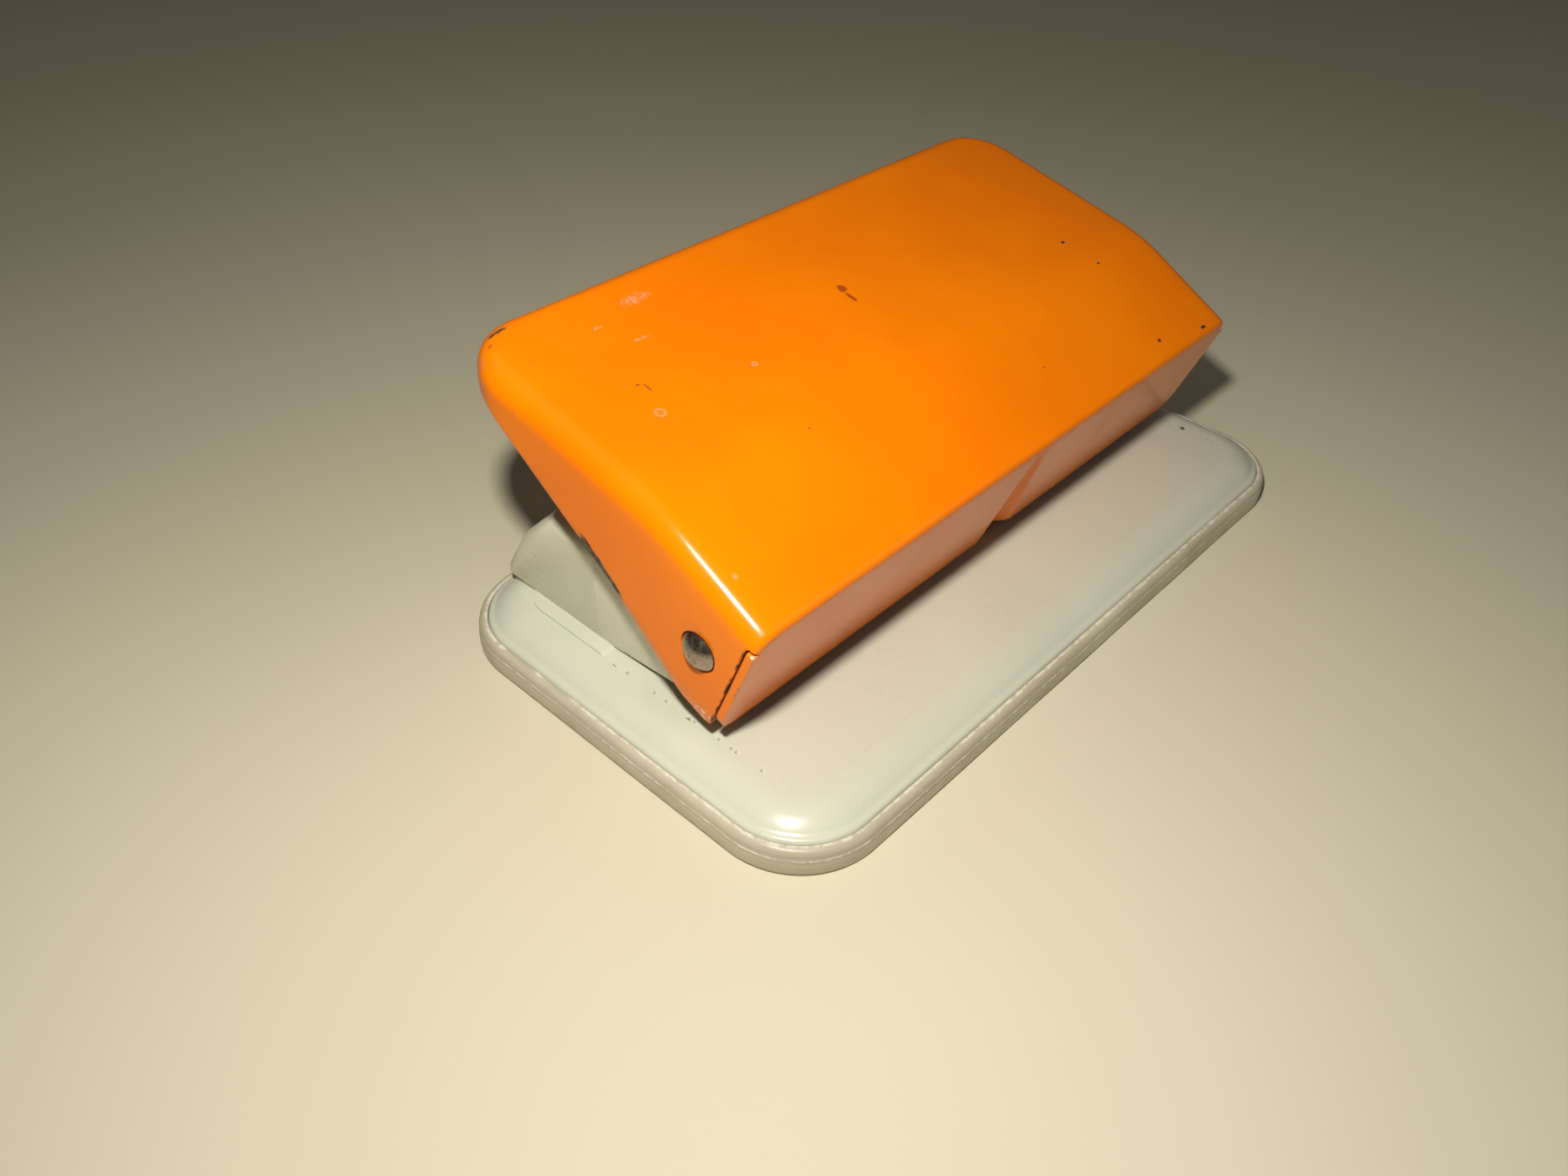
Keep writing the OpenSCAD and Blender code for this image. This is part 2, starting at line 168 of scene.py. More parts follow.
def cutter_cylinder(name, centre, axis, r, length, n=48):
    """Closed cylinder used to drill a piece, then thrown away."""
    bpy.ops.mesh.primitive_cylinder_add(vertices=n, radius=r * MM, depth=length * MM)
    ob = bpy.context.object
    ob.name = name
    q = Vector((0, 0, 1)).rotation_difference(Vector(axis))
    ob.data.transform(Matrix.Translation([c * MM for c in centre]) @ q.to_matrix().to_4x4())
    return ob


def drill(ob, cutters):
    for c in cutters:
        m = ob.modifiers.new("cut", "BOOLEAN")
        m.operation = "DIFFERENCE"
        m.object = c
        m.solver = "EXACT"
    apply_modifiers(ob)
    for c in cutters:
        bpy.data.objects.remove(c, do_unlink=True)


# ---------------------------------------------------------------- materials
class Nodes:
    """Small wrapper that adds and links shader nodes."""

    def __init__(self, name):
        self.mat = bpy.data.materials.new(name)
        self.mat.use_nodes = True
        self.tree = self.mat.node_tree
        self.tree.nodes.clear()
        self.out = self.add("ShaderNodeOutputMaterial")
        self.bsdf = self.add("ShaderNodeBsdfPrincipled")
        self.link(self.bsdf.outputs[0], self.out.inputs["Surface"])
        self.coord = self.add("ShaderNodeTexCoord")

    def add(self, kind, **values):
        n = self.tree.nodes.new(kind)
        for k, v in values.items():
            setattr(n, k, v)
        return n

    def link(self, a, b):
        self.tree.links.new(a, b)

    def put(self, socket, value):
        if isinstance(value, bpy.types.NodeSocket):
            self.link(value, socket)
        else:
            socket.default_value = value

    def set(self, **values):
        """Sets inputs of the main shader; a name's underscores stand for spaces."""
        for k, v in values.items():
            self.put(self.bsdf.inputs[k.replace("_", " ")], v)

    def pos(self):
        """Object position in mm."""
        n = self.add("ShaderNodeVectorMath", operation="SCALE")
        self.link(self.coord.outputs["Object"], n.inputs[0])
        n.inputs["Scale"].default_value = 1000.0
        return n.outputs[0]

    def noise(self, scale, detail=4.0, rough=0.55, distort=0.0, vec=None, w=0.0):
        """Noise whose scale is in cycles per mm."""
        n = self.add("ShaderNodeTexNoise", noise_dimensions="4D" if w else "3D")
        self.link(vec if vec is not None else self.pos(), n.inputs["Vector"])
        if w:
            n.inputs["W"].default_value = w
        n.inputs["Scale"].default_value = scale
        n.inputs["Detail"].default_value = detail
        n.inputs["Roughness"].default_value = rough
        n.inputs["Distortion"].default_value = distort
        return n.outputs["Fac"]

    def voronoi(self, scale, feature="F1", vec=None, rand=1.0):
        n = self.add("ShaderNodeTexVoronoi", feature=feature)
        self.link(vec if vec is not None else self.pos(), n.inputs["Vector"])
        n.inputs["Scale"].default_value = scale
        n.inputs["Randomness"].default_value = rand
        return n

    def math(self, op, a, b=0.0, clamp=False):
        n = self.add("ShaderNodeMath", operation=op)
        n.use_clamp = clamp
        self.put(n.inputs[0], a)
        if op not in ("SQRT", "ABSOLUTE", "SINE", "COSINE"):
            self.put(n.inputs[1], b)
        return n.outputs[0]

    def ramp(self, fac, lo, hi, a=0.0, b=1.0, smooth=True):
        """Maps fac from lo..hi to a..b, clamped."""
        n = self.add("ShaderNodeMapRange", interpolation_type="SMOOTHSTEP" if smooth else "LINEAR")
        n.clamp = True
        self.put(n.inputs["Value"], fac)
        n.inputs["From Min"].default_value = lo
        n.inputs["From Max"].default_value = hi
        n.inputs["To Min"].default_value = a
        n.inputs["To Max"].default_value = b
        return n.outputs["Result"]

    def mix(self, fac, a, b, mode="MIX"):
        n = self.add("ShaderNodeMix", data_type="RGBA", blend_type=mode)
        self.put(n.inputs[0], fac)
        self.put(n.inputs[6], a if isinstance(a, bpy.types.NodeSocket) else (*a, 1.0))
        self.put(n.inputs[7], b if isinstance(b, bpy.types.NodeSocket) else (*b, 1.0))
        return n.outputs[2]

    def bump(self, height, strength, distance_mm, normal=None):
        n = self.add("ShaderNodeBump")
        n.inputs["Strength"].default_value = strength
        n.inputs["Distance"].default_value = distance_mm * MM
        self.put(n.inputs["Height"], height)
        if normal is not None:
            self.link(normal, n.inputs["Normal"])
        return n.outputs[0]

    def split(self, vec):
        n = self.add("ShaderNodeSeparateXYZ")
        self.link(vec, n.inputs[0])
        return n.outputs

    def near(self, centre, half, wobble=0.35, soft=0.35, scale=1.2, w=1.0):
        """Ragged patch: 1 inside an ellipsoid of the given half sizes round centre (mm)."""
        d = self.add("ShaderNodeVectorMath", operation="SUBTRACT")
        self.link(self.pos(), d.inputs[0])
        d.inputs[1].default_value = centre
        s = self.add("ShaderNodeVectorMath", operation="DIVIDE")
        self.link(d.outputs[0], s.inputs[0])
        s.inputs[1].default_value = half
        length = self.add("ShaderNodeVectorMath", operation="LENGTH")
        self.link(s.outputs[0], length.inputs[0])
        n = self.noise(scale, detail=5, rough=0.65, w=w)
        shifted = self.math("ADD", length.outputs["Value"],
                            self.math("MULTIPLY", self.math("SUBTRACT", n, 0.5), 2 * wobble))
        return self.ramp(shifted, 1.0, 1.0 - soft)

    def distance(self, centre):
        """Distance to a point, in mm."""
        d = self.add("ShaderNodeVectorMath", operation="DISTANCE")
        self.link(self.pos(), d.inputs[0])
        d.inputs[1].default_value = centre
        return d.outputs["Value"]

    def patches(self, places, **look):
        """Several ragged patches in one mask; places are (centre, half sizes)."""
        total = None
        for centre, half in places:
            one = self.near(centre, half, **look)
            total = one if total is None else self.math("MAXIMUM", total, one)
        return total

    def bevel_edge(self, radius_mm, samples=2):
        """1 near edges, from the bevelled normal's difference to the true one."""
        b = self.add("ShaderNodeBevel")
        b.samples = samples
        b.inputs["Radius"].default_value = radius_mm * MM
        g = self.add("ShaderNodeNewGeometry")
        dot = self.add("ShaderNodeVectorMath", operation="DOT_PRODUCT")
        self.link(b.outputs[0], dot.inputs[0])
        self.link(g.outputs["True Normal"], dot.inputs[1])
        return self.math("SUBTRACT", 1.0, dot.outputs["Value"])


def lever_material():
    m = Nodes("lever_enamel")
    broad = m.noise(0.03, detail=3)
    fine = m.noise(0.9, detail=4)
    base = m.mix(m.ramp(broad, 0.35, 0.65), ORANGE_DEEP, ORANGE_BRIGHT)
    base = m.mix(m.math("MULTIPLY", m.ramp(fine, 0.45, 0.62), 0.08), base, (0.80, 0.18, 0.003))

    # pale rubbed scuffs
    pale = m.patches([((-28.5, 26.0, 41.4), (3.0, 1.1, 1.2)), ((-36.4, 24.0, 40.9), (1.0, 0.4, 1.0)),
                      ((-33.0, 19.8, 40.1), (1.2, 0.45, 1.0))], wobble=0.9, soft=0.8, scale=0.9, w=2.0)
    pale = m.math("MULTIPLY", pale, m.ramp(m.noise(2.2, detail=3, w=5.0), 0.40, 0.58))
    base = m.mix(m.math("MULTIPLY", pale, 0.42), base, (0.90, 0.52, 0.36))
    # brown knock and a fine scratch
    brown = m.patches([((-2.8, 13.2, 38.6), (0.9, 0.9, 1.0)), ((-3.1, 11.2, 38.2), (0.4, 1.3, 1.0))],
                      wobble=0.5, soft=0.4, scale=1.6, w=3.0)
    base = m.mix(m.math("MULTIPLY", brown, 0.85), base, (0.36, 0.05, 0.006))
    hair = m.patches([((-38.6, 12.6, 38.5), (0.16, 1.2, 0.6)), ((-39.3, 13.6, 38.7), (0.5, 0.16, 0.6))],
                     wobble=0.35, soft=0.5, scale=2.5, w=4.0)
    base = m.mix(m.math("MULTIPLY", hair, 0.8), base, (0.12, 0.05, 0.02))

    # ring chips: pale rim, dull middle
    x, y, z = m.split(m.pos())
    rings = None
    cores = None
    for cx, cy, cz, r in ((-40.4, 8.6, 37.6, 0.62), (-49.1, -11.9, 29.8, 0.42), (-24.5, 8.7, 37.6, 0.34)):
        d = m.distance((cx, cy, cz))
        ring = m.ramp(m.math("ABSOLUTE", m.math("SUBTRACT", d, r)), 0.24, 0.06)
        core = m.ramp(d, r, r * 0.6)
        rings = ring if rings is None else m.math("MAXIMUM", rings, ring)
        cores = core if cores is None else m.math("MAXIMUM", cores, core)
    base = m.mix(m.math("MULTIPLY", cores, 0.15), base, (0.70, 0.30, 0.08))
    base = m.mix(m.math("MULTIPLY", rings, 0.45), base, (0.62, 0.40, 0.20))

    # dark chips down to the primer
    chips = m.patches([((36.3, 3.0, 36.4), (0.55, 0.32, 0.8)), ((37.3, -2.9, 34.8), (0.42, 0.28, 0.8)),
                       ((35.1, -16.1, 28.1), (0.42, 0.35, 0.7)), ((45.4, -17.9, 27.1), (0.8, 0.32, 0.7)),
                       ((50.2, -18.0, 26.0), (0.8, 0.4, 0.8)), ((-51.6, -1.5, 33.5), (0.25, 0.5, 0.6)),
                       ((-27.0, -2.9, 34.8), (0.2, 0.2, 0.4)), ((12.0, -11.0, 30.9), (0.18, 0.18, 0.4)),
                       ((-46.6, 29.9, 41.7), (2.3, 0.45, 0.8)), ((-48.8, 28.4, 41.2), (0.7, 0.5, 0.7))],
                      wobble=0.8, soft=0.5, scale=1.9, w=7.0)
    edge = m.bevel_edge(0.45)
    wear = m.math("MULTIPLY", m.ramp(edge, 0.08, 0.25),
                  m.ramp(m.noise(0.45, detail=6, rough=0.7), 0.55, 0.61))
    # the cheek's front edge, along the open seam, is chipped
    setback = m.math("ADD", m.math("ADD", y, m.math("MULTIPLY", z, LEAN)), -FRONT_Y - FRONT_Z * LEAN)
    outside = m.ramp(m.math("ABSOLUTE", x), LEVER_HALF - 0.5, LEVER_HALF - 0.3)
    off_seam = m.math("ABSOLUTE", m.math("SUBTRACT", setback, 1.40))
    seam = m.math("MULTIPLY", m.ramp(off_seam, 0.24, 0.12), outside)
    seam = m.math("MULTIPLY", seam, m.ramp(z, SEAM_TOP + 1.0, SEAM_TOP))
    seam = m.math("MULTIPLY", seam, m.ramp(m.noise(0.7, detail=6, rough=0.75, w=11.0), 0.47, 0.53))
    # scalloped paint low on the cheek, and a bare bright spot by its tip
    low = m.near((-52.4, 7.0, 22.8), (1.2, 5.5, 4.6), wobble=0.5, soft=0.3, scale=0.6, w=12.0)
    low = m.math("MULTIPLY", low, m.ramp(m.math("SUBTRACT", z, m.math("ADD", m.math("MULTIPLY", y, 0.874),
                 m.math("ADD", 17.07, m.math("MULTIPLY", m.noise(0.5, detail=3, w=13.0), 1.6)))), 0.15, -0.1))
    worn = m.math("MAXIMUM", m.math("MAXIMUM", wear, chips), m.math("MAXIMUM", seam, low))
    primer = m.mix(m.ramp(m.noise(1.5, detail=4), 0.45, 0.6), PRIMER_DARK, PRIMER_LIGHT)
    base = m.mix(worn, base, primer)
    bare = m.near((-52.4, -9.6, 10.3), (1.0, 2.2, 0.9), wobble=0.8, soft=0.3, scale=0.9, w=14.0)
    bare = m.math("MULTIPLY", bare, m.ramp(m.noise(1.2, detail=5, w=15.0), 0.48, 0.54))
    base = m.mix(bare, base, BARE_METAL)
    dull = m.near((-50.6, 28.2, 39.4), (1.6, 2.4, 1.8), wobble=0.7, soft=0.7, scale=0.8, w=16.0)
    base = m.mix(m.math("MULTIPLY", dull, 0.40), base, (0.42, 0.25, 0.14))

    rough = m.math("ADD", m.ramp(m.noise(0.08, detail=5), 0.3, 0.7, 0.15, 0.24),
                   m.math("MULTIPLY", worn, 0.35))
    peel = m.bump(m.noise(0.55, detail=2), 0.08, 0.05)
    peel = m.bump(m.noise(0.07, detail=2), 0.20, 0.20, peel)
    chip_bump = m.bump(m.math("SUBTRACT", 1.0, m.math("MAXIMUM", worn, rings)), 0.6, 0.06, peel)
    m.set(Base_Color=base, Roughness=rough, Normal=chip_bump, Metallic=0.0)
    m.set(Specular_IOR_Level=0.24, Coat_Weight=0.08, Coat_Roughness=0.05, Coat_Normal=peel)
    return m.mat


def base_material():
    m = Nodes("base_enamel")
    base = m.mix(m.ramp(m.noise(0.04, detail=3), 0.35, 0.65), GREY_SHADE, GREY_LIGHT)
    speck = m.voronoi(0.28)
    dots = m.math("MULTIPLY", m.ramp(speck.outputs["Distance"], 0.024, 0.010),
                  m.ramp(m.split(speck.outputs["Color"])[1], 0.80, 0.84))
    base = m.mix(m.math("MULTIPLY", dots, 0.55), base, (0.20, 0.17, 0.12))
    rough = m.ramp(m.noise(0.1, detail=3), 0.3, 0.7, 0.27, 0.32)
    peel = m.bump(m.noise(0.5, detail=2), 0.10, 0.04)
    peel = m.bump(m.noise(0.09, detail=2), 0.2, 0.15, peel)
    peel = m.bump(m.math("MULTIPLY", dots, 1.0), 0.4, 0.05, peel)
    m.set(Base_Color=base, Roughness=rough, Normal=peel)
    m.set(Specular_IOR_Level=0.4, Coat_Weight=0.12, Coat_Roughness=0.12, Coat_Normal=peel)
    return m.mat


def bracket_material():
    m = Nodes("bracket_enamel")
    base = m.mix(m.ramp(m.noise(0.05, detail=3), 0.35, 0.65), BRACKET_SHADE, BRACKET_LIGHT)
    edge = m.bevel_edge(0.4)
    wear = m.math("MULTIPLY", m.ramp(edge, 0.05, 0.25), m.ramp(m.noise(0.5, detail=6), 0.55, 0.62))
    base = m.mix(wear, base, (0.16, 0.13, 0.10))
    speck = m.math("MULTIPLY", m.ramp(m.noise(1.6, detail=5, rough=0.75), 0.68, 0.74), 0.5)
    base = m.mix(speck, base, (0.22, 0.19, 0.14))
    peel = m.bump(m.noise(0.5, detail=2), 0.12, 0.05)
    peel = m.bump(m.noise(0.08, detail=2), 0.3, 0.2, peel)
    m.set(Base_Color=base, Roughness=m.ramp(m.noise(0.1, detail=5), 0.3, 0.7, 0.26, 0.38), Normal=peel)
    m.set(Coat_Weight=0.3, Coat_Roughness=0.12, Coat_Normal=peel)
    return m.mat


def tray_material():
    m = Nodes("tray_soft_plastic")
    base = m.mix(m.ramp(m.noise(0.06, detail=4), 0.35, 0.65), TRAY_SHADE, TRAY_LIGHT)
    x, y, z = m.split(m.pos())
    # milky lines: the torn inner lip and the mould's parting line
    wave = m.math("MULTIPLY", m.math("SUBTRACT", m.noise(0.35, detail=5, rough=0.7), 0.5), 0.9)
    flash_z = m.math("ABSOLUTE", m.math("SUBTRACT", z, m.math("ADD", 2.55, m.math("MULTIPLY", wave, 0.35))))
    flash = m.ramp(flash_z, 0.22, 0.04)
    flash = m.math("MULTIPLY", flash,
                   m.ramp(m.noise(0.9, detail=6, rough=0.75, w=4.0), 0.44, 0.58, 0.12, 1.0))
    lip = m.ramp(m.math("ADD", z, m.math("MULTIPLY", wave, 0.22)), 3.96, 4.06)
    lip = m.math("MULTIPLY", lip, m.ramp(m.noise(1.1, detail=6, rough=0.75, w=8.0), 0.42, 0.56, 0.2, 1.0))
    milky = m.math("MAXIMUM", m.math("MULTIPLY", flash, 0.85), m.math("MULTIPLY", lip, 0.8))
    base = m.mix(milky, base, TRAY_MILKY)
    nick = m.math("MULTIPLY", m.ramp(m.noise(0.8, detail=6, rough=0.75, w=6.0), 0.64, 0.70), 0.7)
    base = m.mix(nick, base, TRAY_MILKY)
    rough = m.ramp(m.noise(0.5, detail=5), 0.35, 0.65, 0.30, 0.48)
    b = m.bump(m.noise(0.45, detail=4), 0.35, 0.12)
    b = m.bump(flash, 0.6, 0.10, b)
    b = m.bump(m.noise(2.4, detail=3), 0.15, 0.04, b)
    m.set(Base_Color=base, Roughness=rough, Normal=b, IOR=1.46)
    m.set(Subsurface_Weight=0.35, Subsurface_Scale=0.0012, Subsurface_Radius=(1.0, 0.85, 0.6))
    return m.mat


def steel_material(name, colour, rough=0.3, brushed=(1, 1, 1), stain=0.35, bumpy=0.15):
    """Bare steel with fine tool marks and stains; brushed stretches the marks."""
    m = Nodes(name)
    scaled = m.add("ShaderNodeVectorMath", operation="MULTIPLY")
    m.link(m.pos(), scaled.inputs[0])
    scaled.inputs[1].default_value = brushed
    marks = m.noise(2.5, detail=5, rough=0.6, vec=scaled.outputs[0])
    spots = m.ramp(m.noise(0.7, detail=6, rough=0.7), 0.5, 0.66)
    dark = tuple(c * 0.35 for c in colour)
    base = m.mix(m.math("MULTIPLY", m.ramp(marks, 0.35, 0.65), 0.25), colour, dark)
    base = m.mix(m.math("MULTIPLY", spots, stain), base, (dark[0] * 0.9, dark[1] * 0.7, dark[2] * 0.5))
    r = m.math("ADD", m.ramp(marks, 0.3, 0.7, rough - 0.07, rough + 0.08), m.math("MULTIPLY", spots, 0.2))
    m.set(Base_Color=base, Metallic=1.0, Roughness=r, Normal=m.bump(marks, bumpy, 0.03))
    return m.mat


def floor_material():
    m = Nodes("floor_card")
    base = m.mix(m.ramp(m.noise(0.004, detail=2), 0.35, 0.65), FLOOR_SHADE, FLOOR_LIGHT)
    b = m.bump(m.noise(0.6, detail=3), 0.25, 0.08)
    m.set(Base_Color=base, Roughness=0.62, Normal=b)
    return m.mat


# ---------------------------------------------------------------- lever
def build_profile():
    """Height of the lever's top over y, with a soft bend, as (y, z) arrays."""
    ys = np.linspace(-20.0, 36.0, 2241)
    t = np.clip((ys - (BEND_Y - BEND_HALF)) / (2 * BEND_HALF), 0, 1)
    t = t * t * (3 - 2 * t)
    slope = FRONT_SLOPE + (REAR_SLOPE - FRONT_SLOPE) * t
    zs = np.concatenate([[0], np.cumsum((slope[1:] + slope[:-1]) / 2 * np.diff(ys))])
    zs += FRONT_TOP_Z - np.interp(FRONT_TOP_Y, ys, zs)
    return ys, zs


PROFILE = build_profile()


def top_z(y):
    return float(np.interp(y, *PROFILE))


def wall_y(z):
    """The front wall's outer face."""
    return FRONT_Y - (z - FRONT_Z) * LEAN


def cheek_z(y):
    ys = [p[0] for p in CHEEK]
    zs = [p[1] for p in CHEEK]
    total = 0.0
    for k in (-0.5, -0.25, 0.0, 0.25, 0.5):
        total += float(np.interp(y + k, ys, zs))
    return total / 5


def meet_wall(drop, setback):
    """y where a rail lying drop below the top line meets the plane setback behind the wall."""
    y = FRONT_TOP_Y
    for _ in range(40):
        y = wall_y(top_z(y) - drop) + setback
    return y


def groove_depth(x, z):
    h = (z - FRONT_Z) / (FRONT_TOP_Z - FRONT_Z)
    left = lerp(-0.5, 1.0, h)
    deep = lerp(3.3, 2.0, h)
    right = lerp(7.6, 3.2, h)
    depth = 1.55 * max(0.0, 1 - h) ** 0.75
    if x <= left or x >= right:
        return 0.0
    if x < deep:
        s = (x - left) / (deep - left)
        return depth * (1 - (1 - s) ** 1.7)
    s = (x - deep) / (right - deep)
    return depth * (1 - smooth01(s))


def build_lever(mat):
    verts, faces = [], []
    arc_n = 12
    thetas = [90.0 * k / arc_n for k in range(arc_n + 1)]
    seam_drop = FRONT_TOP_Z - SEAM_TOP + 0.05
    drops = [LEVER_R * (1 - math.cos(math.radians(th))) for th in thetas]
    # the rails of the shoulder down to this one join the wall; the seam opens below it
    last_join = max(k for k, drop in enumerate(drops) if drop <= seam_drop)

    # plan outline: side stations, corner arc, half of the back edge
    common = -8.0
    side_end = LEVER_BACK - LEVER_CORNER
    side_ys = [common] + list(np.arange(-7.0, side_end - 0.4, 1.0)) + [side_end]
    arc_steps = 16
    corner = [180.0 - 90.0 * k / arc_steps for k in range(1, arc_steps + 1)]
    cross = 60
    lower_n = 8

    def section(point, normal, z_low):
        """From the top inner point out over the shoulder and down to the lower edge."""
        out = []
        for th in thetas:
            s, c = math.sin(math.radians(th)), math.cos(math.radians(th))
            x = point[0] - LEVER_R * (1 - s) * normal[0]
            y = point[1] - LEVER_R * (1 - s) * normal[1]
            out.append((x, y, top_z(y) - LEVER_R * (1 - c)))
        start = out[-1]
        for k in range(1, lower_n + 1):
            out.append((start[0], start[1], lerp(start[2], min(z_low, start[2] - 0.05), k / lower_n)))
        return out

    def side_section(sign, t):
        """Side section sheared to follow the front wall: t 0 at the wall, 1 at the first straight one."""
        out = []
        for k, th in enumerate(thetas):
            s, c = math.sin(math.radians(th)), math.cos(math.radians(th))
            drop = LEVER_R * (1 - c)
            setback = WALL_FILLET if k <= last_join else SEAM_SETBACK
            y = lerp(meet_wall(drop, setback), common, t)
            out.append((sign * (LEVER_HALF - LEVER_R * (1 - s)), y, top_z(y) - drop))
        x = sign * LEVER_HALF
        # lower part runs down the wall's line to the cheek's lower front corner
        z0 = out[-1][2]
        z_end = cheek_z(lerp(wall_y(CHEEK[0][1]) + SEAM_SETBACK, common, t))
        for k in range(1, lower_n + 1):
            z = lerp(z0, z_end, k / lower_n)
            out.append((x, lerp(wall_y(z) + SEAM_SETBACK, common, t), z))
        return out

    per = len(thetas) + lower_n

    def add_strip(sections):
        base = len(verts)
        for s in sections:
            verts.extend(s)
        faces.extend(grid_faces(len(sections), per, base))

    # sides and rear corners
    steps_front = 8
    inner_rows = []
    for sign in (-1, 1):
        sections = [side_section(sign, k / steps_front) for k in range(steps_front)]
        for y in side_ys:
            sections.append(section((sign * LEVER_HALF, y), (sign, 0), cheek_z(y)))
        cx = sign * (LEVER_HALF - LEVER_CORNER)
        cy = LEVER_BACK - LEVER_CORNER
        for a in corner:
            ca, sa = math.cos(math.radians(a)), math.sin(math.radians(a))
            nx = -ca * sign
            p = (cx + LEVER_CORNER * nx, cy + LEVER_CORNER * sa)
            sections.append(section(p, (nx, sa), cheek_z(p[1])))
        add_strip(sections)
        inner_rows.append([s[0] for s in sections])
    # back edge
    xs = [lerp(-(LEVER_HALF - LEVER_CORNER), LEVER_HALF - LEVER_CORNER, k / cross) for k in range(cross + 1)]
    add_strip([section((x, LEVER_BACK), (0, 1), cheek_z(LEVER_BACK)) for x in xs])
    # top
    base = len(verts)
    for a, b in zip(*inner_rows):
        for k in range(cross + 1):
            u = k / cross
            verts.append((lerp(a[0], b[0], u), a[1], a[2]))
    faces.extend(grid_faces(len(inner_rows[0]), cross + 1, base))

    # front wall columns: (x, drop below the top line, shoulder angle)
    columns = []
    half_flat = LEVER_HALF - LEVER_R
    for k in range(last_join, 0, -1):
        th = math.radians(thetas[k])
        columns.append((-(half_flat + LEVER_R * math.sin(th)), LEVER_R * (1 - math.cos(th)), thetas[k]))
    flat = [lerp(-half_flat, half_flat, k / cross) for k in range(cross + 1)]
    for x in flat:
        columns.append((x, 0.0, 0.0))
    mirrored = [(-c[0], c[1], -c[2]) for c in reversed(columns[:last_join])]
    columns += mirrored
    slope_len = 1 / math.cos(math.atan(LEAN))

    def wall_point(x, z, extra=0.0):
        d = groove_depth(x, z) + extra
        return (x, wall_y(z) + d * math.cos(math.atan(LEAN)), z + d * math.sin(math.atan(LEAN)))

    def outer_curve(col):
        """Corner where the rail of this column would meet the wall."""
        y = meet_wall(col[1], 0.0)
        return (col[0], y, top_z(y) - col[1])

    # fillet between the top and the wall
    rows_f = 5
    rims = []
    for col in columns:
        c = outer_curve(col)
        y_back = meet_wall(col[1], WALL_FILLET)
        start = (col[0], y_back, top_z(y_back) - col[1])
        th = math.radians(abs(col[2]))
        dx = -WALL_FILLET * math.sin(th) * (1 if col[0] > 0 else -1) if th else 0.0
        dz = -WALL_FILLET * math.cos(th) / slope_len
        end_x, end_z = c[0] + dx, c[2] + dz
        end = (end_x, wall_y(end_z), end_z)
        pts = []
        for k in range(rows_f + 1):
            t = k / rows_f
            pts.append(tuple((1 - t) ** 2 * a + 2 * t * (1 - t) * b + t * t * e
                             for a, b, e in zip(start, c, end)))
        rims.append(pts)

    def bottom_z(x):
        """The wall's lower edge, with rounded ends."""
        r = 3.0
        over = abs(x) - (LEVER_HALF - 0.15 - r)
        if over <= 0:
            return FRONT_Z
        over = min(over, r)
        return FRONT_Z + r - math.sqrt(max(0.0, r * r - over * over))

    base = len(verts)
    cols_n = len(rims)
    for k in range(rows_f + 1):
        for pts in rims:
            verts.append(pts[k])
    faces.extend(grid_faces(rows_f + 1, cols_n, base))

    rim_x = [p[-1][0] for p in rims]
    rim_z = [p[-1][2] for p in rims]
    # the wall has denser columns round the groove and at its ends
    dense = list(rim_x)
    for x in np.arange(-3.0, 10.01, 0.22):
        dense.append(float(x))
    dense.append(-(LEVER_HALF - 0.02))
    dense.append(LEVER_HALF - 0.02)
    for k in range(1, 8):
        for sign in (-1, 1):
            dense.append(sign * (LEVER_HALF - 3.0 + 3.0 * k / 8))
    dense = sorted(set(round(x, 4) for x in dense))
    keep = [dense[0]]
    rim_round = set(round(x, 4) for x in rim_x)
    for x in dense[1:]:
        if x - keep[-1] < 0.06 and x not in rim_round:
            continue
        if x - keep[-1] < 0.06 and keep[-1] not in rim_round:
            keep[-1] = x
            continue
        keep.append(x)
    rows_w = 30
    base = len(verts)
    order = np.argsort(rim_x)
    rx = np.array(rim_x)[order]
    rz = np.array(rim_z)[order]
    for k in range(rows_w + 1):
        for x in keep:
            zt = float(np.interp(x, rx, rz))
            if abs(x) > rx[-1]:
                zt = rz[-1] - (abs(x) - rx[-1]) * 0.4
            z = lerp(zt, bottom_z(x), (k / rows_w) ** 0.9)
            verts.append(wall_point(x, z))
    faces.extend(grid_faces(rows_w + 1, len(keep), base))

    ob = make("lever_shell", verts, faces, mat, merge=0.03)
    return ob


def finish_lever(ob):
    """Gives the pressed sheet its thickness, softened edges and the rod's holes."""
    bm = bmesh.new()
    bm.from_mesh(ob.data)
    bmesh.ops.recalc_face_normals(bm, faces=bm.faces)
    top = max(bm.faces, key=lambda f: f.calc_center_median().z)
    if top.normal.z < 0:
        bmesh.ops.reverse_faces(bm, faces=bm.faces)
    bm.to_mesh(ob.data)
    bm.free()
    modifier(ob, "SOLIDIFY", thickness=LEVER_SHEET * MM, offset=-1.0, use_even_offset=False)
    apply_modifiers(ob)
    cutters = [cutter_cylinder("hole", (s * LEVER_HALF, *PIVOT), (1, 0, 0), ROD_HOLE_R, 6)
               for s in (-1, 1)]
    drill(ob, cutters)
    modifier(ob, "BEVEL", width=0.12 * MM, segments=2, limit_method="ANGLE", angle_limit=math.radians(50))
    apply_modifiers(ob)
    shade(ob, 38)


